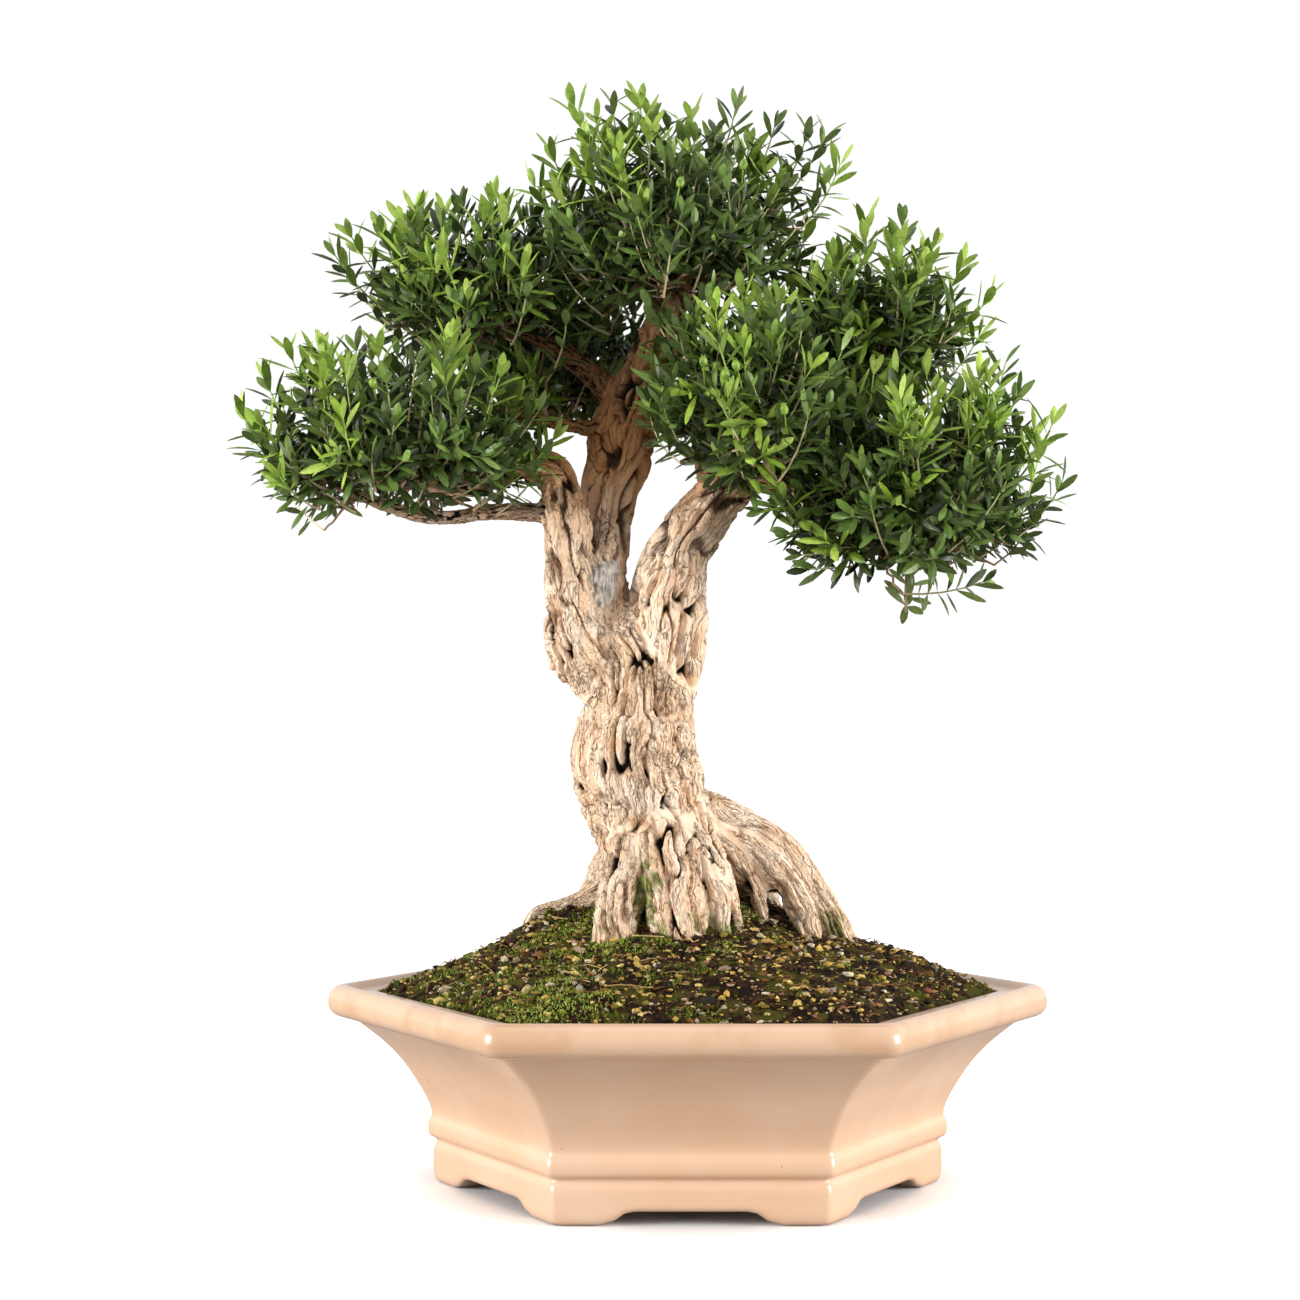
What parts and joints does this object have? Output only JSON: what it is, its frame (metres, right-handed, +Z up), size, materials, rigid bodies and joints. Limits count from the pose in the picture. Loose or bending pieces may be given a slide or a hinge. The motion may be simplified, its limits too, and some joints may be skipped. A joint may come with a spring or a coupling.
{
  "type": "potted boxwood bonsai",
  "caption": "Boxwood bonsai with a leaning forked trunk, arching roots and cushions of small leaves, in a flared hexagonal glazed pot with cut-out feet.",
  "frame": {"origin": "bottom centre of the whole object's box, on the surface that the pot's feet stand on; the pot's own axis stands 28.3 mm to the +X side of it", "axes": "+Z up; the front of the tree faces -Y, with one flat side of the hexagon to the front; +X is to the right seen from the front"},
  "size_m": [0.6118, 0.4504, 0.7916],
  "materials": {
    "glaze": "cream glazed stoneware",
    "screen_plastic": "black plastic drainage mesh",
    "soil": "damp gritty bonsai soil with moss",
    "bark": "pale corky bark with deep fissures",
    "leaf": "waxy boxwood leaves on pale twigs"
  },
  "bodies": {
    "root": {"pot": "glaze", "drain_screen_1": "screen_plastic", "drain_screen_2": "screen_plastic", "drain_screen_3": "screen_plastic", "soil": "soil", "trunk_and_branches": "bark", "foliage_left_low": "leaf", "foliage_left_up": "leaf", "foliage_top": "leaf", "foliage_right_up": "leaf", "foliage_right_low": "leaf", "foliage_middle": "leaf", "foliage_back_left": "leaf", "foliage_back_right": "leaf"}
  },
  "joints": []
}
